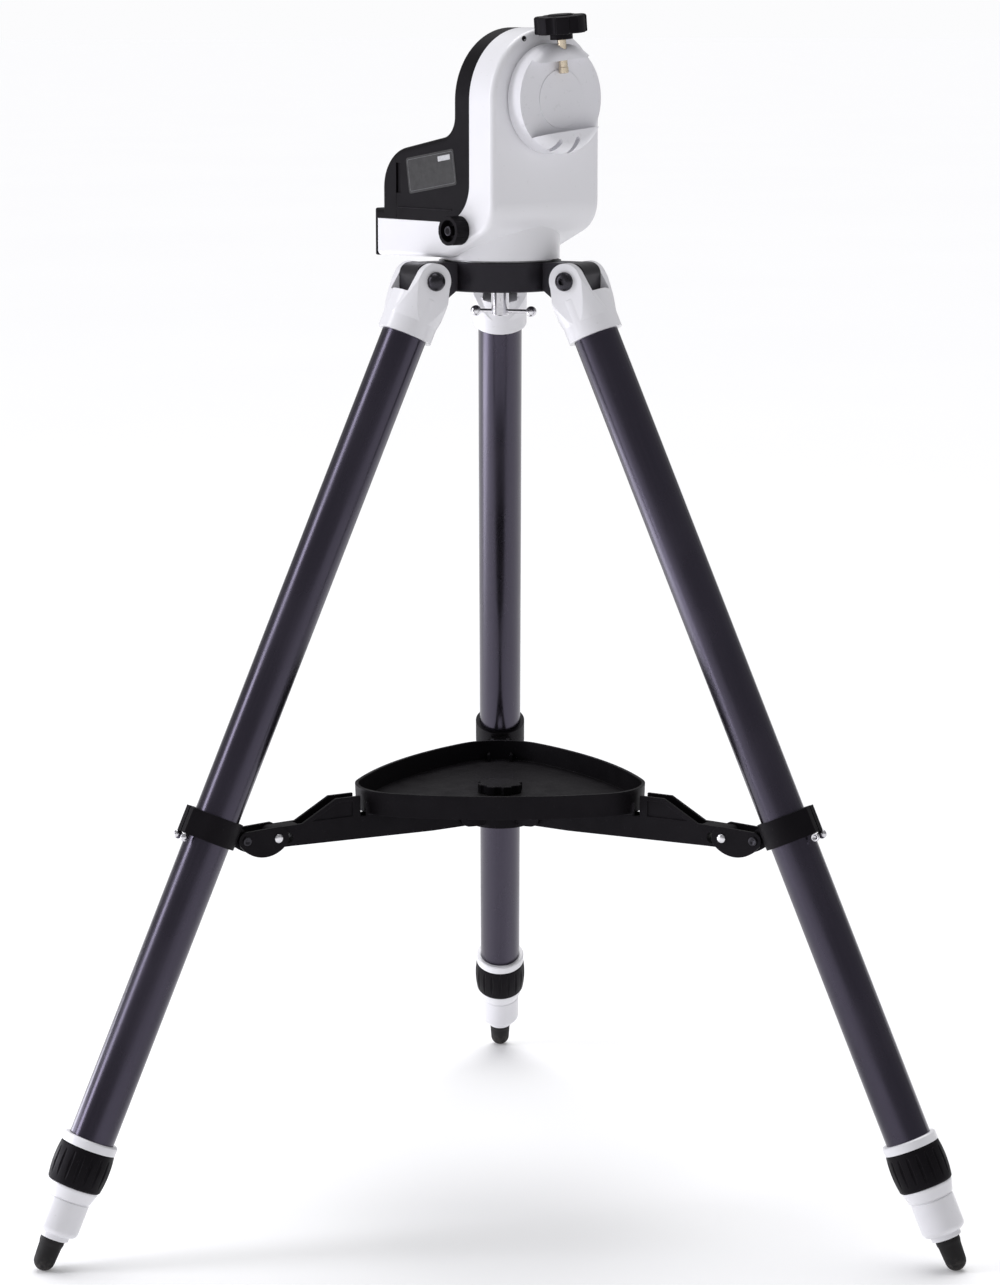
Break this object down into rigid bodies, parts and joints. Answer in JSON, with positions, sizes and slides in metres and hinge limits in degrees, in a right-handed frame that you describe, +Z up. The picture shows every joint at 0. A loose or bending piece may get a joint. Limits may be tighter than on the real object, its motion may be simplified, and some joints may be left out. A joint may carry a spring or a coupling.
{
  "type": "telescope mount",
  "caption": "Motorised single-arm altazimuth telescope mount with a dovetail saddle, on an aluminium tripod with a folding spreader and tray.",
  "frame": {"origin": "on the azimuth axis, at the height of the ground the feet rest on", "axes": "+Z up along the azimuth axis, +X along the altitude axis out of the saddle, +Y to its left"},
  "size_m": [0.6271, 0.608, 0.8496],
  "materials": {
    "black_cast": "satin black",
    "black_zinc": "glossy black",
    "chrome_steel": "polished",
    "white_plastic": "satin, faintly cool white",
    "black_plastic": "fine-grained black",
    "black_tube": "anodised satin black",
    "bright_tube": "brushed",
    "rubber_black": "matt",
    "saddle_metal": "satin, faintly cool white",
    "brass": "machined",
    "steel": "machined",
    "circuit_green": "solder mask",
    "cell_wrap": "printed sleeve",
    "switch_red": "gloss black"
  },
  "bodies": {
    "tripod_head": {"tripod_hub": "black_cast", "leg_pivot_bolts": "black_zinc", "leg_pivot_nuts": "black_zinc", "azimuth_base": "steel", "azimuth_worm_wheel": "brass"},
    "hub_bolt": {"hub_bolt": "chrome_steel", "hub_bolt_bar": "chrome_steel"},
    "head": {"housing": "white_plastic", "rear_cover": "black_plastic", "control_panel": "black_plastic", "battery_holder": "black_plastic", "battery_cells": "cell_wrap", "control_board": "circuit_green", "altitude_motor": "steel", "azimuth_motor": "steel", "housing_screws": "black_zinc"},
    "battery_door": {"battery_door": "black_plastic"},
    "saddle": {"saddle": "saddle_metal", "altitude_shaft": "saddle_metal", "altitude_worm_wheel": "brass"},
    "clamp": {"clamp_screw": "brass", "clamp_knob": "black_plastic"},
    "altitude_clutch_knob": {"altitude_clutch_knob": "black_plastic"},
    "azimuth_lock_knob": {"azimuth_lock_knob": "black_plastic"},
    "altitude_worm": {"altitude_worm": "steel"},
    "azimuth_worm": {"azimuth_worm": "steel"},
    "power_switch": {"power_switch": "switch_red"},
    "spreader_centre": {"spreader_hub": "black_plastic", "accessory_tray": "black_plastic"},
    "tray_screw": {"tray_screw": "black_plastic"},
    "leg_1": {"leg_bracket_1": "white_plastic", "leg_tube_1": "black_tube", "spreader_collar_1": "black_plastic", "lock_body_1": "white_plastic"},
    "lock_grip_1": {"lock_grip_1": "black_plastic"},
    "lower_leg_1": {"lower_tube_1": "bright_tube", "foot_cap_1": "white_plastic", "foot_tip_1": "rubber_black"},
    "spreader_arm_1": {"spreader_arm_1": "black_plastic"},
    "spreader_link_1": {"spreader_link_1": "black_plastic"},
    "leg_2": {"leg_bracket_2": "white_plastic", "leg_tube_2": "black_tube", "spreader_collar_2": "black_plastic", "lock_body_2": "white_plastic"},
    "lock_grip_2": {"lock_grip_2": "black_plastic"},
    "lower_leg_2": {"lower_tube_2": "bright_tube", "foot_cap_2": "white_plastic", "foot_tip_2": "rubber_black"},
    "spreader_arm_2": {"spreader_arm_2": "black_plastic"},
    "spreader_link_2": {"spreader_link_2": "black_plastic"},
    "leg_3": {"leg_bracket_3": "white_plastic", "leg_tube_3": "black_tube", "spreader_collar_3": "black_plastic", "lock_body_3": "white_plastic"},
    "lock_grip_3": {"lock_grip_3": "black_plastic"},
    "lower_leg_3": {"lower_tube_3": "bright_tube", "foot_cap_3": "white_plastic", "foot_tip_3": "rubber_black"},
    "spreader_arm_3": {"spreader_arm_3": "black_plastic"},
    "spreader_link_3": {"spreader_link_3": "black_plastic"}
  },
  "joints": [
    {"name": "azimuth", "type": "hinge", "parent": "tripod_head", "child": "head", "pos_m": [0, 0, 0.69], "axis": [0, 0, 1], "continuous": true},
    {"name": "altitude", "type": "hinge", "parent": "head", "child": "saddle", "pos_m": [0, 0, 0.7918], "axis": [1, 0, 0], "continuous": true},
    {"name": "azimuth_worm_spin", "type": "hinge", "parent": "head", "child": "azimuth_worm", "pos_m": [-0.0353, 0, 0.7015], "axis": [0, 1, 0], "continuous": true},
    {"name": "altitude_worm_spin", "type": "hinge", "parent": "head", "child": "altitude_worm", "pos_m": [0.0255, 0, 0.7565], "axis": [0, 1, 0], "continuous": true},
    {"name": "clamp_turn", "type": "hinge", "parent": "saddle", "child": "clamp", "pos_m": [0.0676, 0, 0.7918], "axis": [0, -0.0958, 0.9954], "range_deg": [-1080, 0]},
    {"name": "altitude_clutch_turn", "type": "hinge", "parent": "head", "child": "altitude_clutch_knob", "pos_m": [0, 0, 0.7918], "axis": [-1, 0, 0], "range_deg": [-360, 0]},
    {"name": "azimuth_lock_turn", "type": "hinge", "parent": "head", "child": "azimuth_lock_knob", "pos_m": [0.015, -0.05, 0.702], "axis": [0, -1, 0], "range_deg": [-720, 0]},
    {"name": "battery_door_slide", "type": "slide", "parent": "head", "child": "battery_door", "axis": [-1, 0, 0], "range_m": [0, 0.06]},
    {"name": "power_switch_rock", "type": "hinge", "parent": "head", "child": "power_switch", "pos_m": [-0.009, 0.0475, 0.729], "axis": [0, 0, 1], "range_deg": [-8, 8]},
    {"name": "hub_bolt_turn", "type": "hinge", "parent": "tripod_head", "child": "hub_bolt", "pos_m": [0, 0, 0.66], "axis": [0, 0, 1], "range_deg": [-1440, 0]},
    {"name": "spreader_lift", "type": "slide", "parent": "tripod_head", "child": "spreader_centre", "axis": [0, 0, 1], "range_m": [0, 0.0905]},
    {"name": "tray_screw_turn", "type": "hinge", "parent": "spreader_centre", "child": "tray_screw", "pos_m": [0, 0, 0.3], "axis": [0, 0, 1], "range_deg": [0, 1080]},
    {"name": "leg_1_fold", "type": "hinge", "parent": "tripod_head", "child": "leg_1", "pos_m": [0.05927, 0.01983, 0.667], "axis": [-0.3173, 0.9483, 0], "range_deg": [0, 5.57]},
    {"name": "spreader_arm_1_swing", "type": "hinge", "parent": "spreader_centre", "child": "spreader_arm_1", "pos_m": [0.02845, 0.00952, 0.283], "axis": [-0.3173, 0.9483, 0], "range_deg": [0, 42.1]},
    {"name": "spreader_link_1_swing", "type": "hinge", "parent": "leg_1", "child": "spreader_link_1", "pos_m": [0.19659, 0.06578, 0.2856], "axis": [-0.3173, 0.9483, 0], "range_deg": [-11.4, 0]},
    {"name": "lower_leg_1_slide", "type": "slide", "parent": "leg_1", "child": "lower_leg_1", "axis": [0.3939, 0.1318, -0.9097], "range_m": [0, 0.395]},
    {"name": "lock_grip_1_turn", "type": "hinge", "parent": "leg_1", "child": "lock_grip_1", "pos_m": [0.05702, 0.01908, 0.66592], "axis": [0.3939, 0.1318, -0.9097], "range_deg": [-180, 0]},
    {"name": "leg_2_fold", "type": "hinge", "parent": "tripod_head", "child": "leg_2", "pos_m": [-0.04681, 0.04141, 0.667], "axis": [-0.6626, -0.749, 0], "range_deg": [0, 5.6]},
    {"name": "spreader_arm_2_swing", "type": "hinge", "parent": "spreader_centre", "child": "spreader_arm_2", "pos_m": [-0.02247, 0.01988, 0.283], "axis": [-0.6626, -0.749, 0], "range_deg": [0, 42.1]},
    {"name": "spreader_link_2_swing", "type": "hinge", "parent": "leg_2", "child": "spreader_link_2", "pos_m": [-0.15526, 0.13736, 0.2856], "axis": [-0.6626, -0.749, 0], "range_deg": [-11.4, 0]},
    {"name": "lower_leg_2_slide", "type": "slide", "parent": "leg_2", "child": "lower_leg_2", "axis": [-0.3111, 0.2752, -0.9097], "range_m": [0, 0.395]},
    {"name": "lock_grip_2_turn", "type": "hinge", "parent": "leg_2", "child": "lock_grip_2", "pos_m": [-0.04503, 0.03984, 0.66592], "axis": [-0.3111, 0.2752, -0.9097], "range_deg": [-180, 0]},
    {"name": "leg_3_fold", "type": "hinge", "parent": "tripod_head", "child": "leg_3", "pos_m": [-0.01246, -0.06124, 0.667], "axis": [0.9799, -0.1994, 0], "range_deg": [0, 5.6]},
    {"name": "spreader_arm_3_swing", "type": "hinge", "parent": "spreader_centre", "child": "spreader_arm_3", "pos_m": [-0.00598, -0.0294, 0.283], "axis": [0.9799, -0.1994, 0], "range_deg": [0, 42.1]},
    {"name": "spreader_link_3_swing", "type": "hinge", "parent": "leg_3", "child": "spreader_link_3", "pos_m": [-0.04133, -0.20314, 0.2856], "axis": [0.9799, -0.1994, 0], "range_deg": [-11.4, 0]},
    {"name": "lower_leg_3_slide", "type": "slide", "parent": "leg_3", "child": "lower_leg_3", "axis": [-0.0828, -0.407, -0.9097], "range_m": [0, 0.395]},
    {"name": "lock_grip_3_turn", "type": "hinge", "parent": "leg_3", "child": "lock_grip_3", "pos_m": [-0.01199, -0.05892, 0.66592], "axis": [-0.0828, -0.407, -0.9097], "range_deg": [-180, 0]}
  ],
  "couplings": [
    {"joint": "spreader_lift", "follows": "leg_1_fold", "m_per_rad": 0.92645},
    {"joint": "spreader_arm_1_swing", "follows": "leg_1_fold", "ratio": 7.5401},
    {"joint": "spreader_link_1_swing", "follows": "leg_1_fold", "ratio": -2.0343},
    {"joint": "leg_2_fold", "follows": "leg_1_fold", "ratio": 1},
    {"joint": "spreader_arm_2_swing", "follows": "leg_1_fold", "ratio": 7.5401},
    {"joint": "spreader_link_2_swing", "follows": "leg_1_fold", "ratio": -2.0343},
    {"joint": "leg_3_fold", "follows": "leg_1_fold", "ratio": 1},
    {"joint": "spreader_arm_3_swing", "follows": "leg_1_fold", "ratio": 7.5401},
    {"joint": "spreader_link_3_swing", "follows": "leg_1_fold", "ratio": -2.0343}
  ]
}
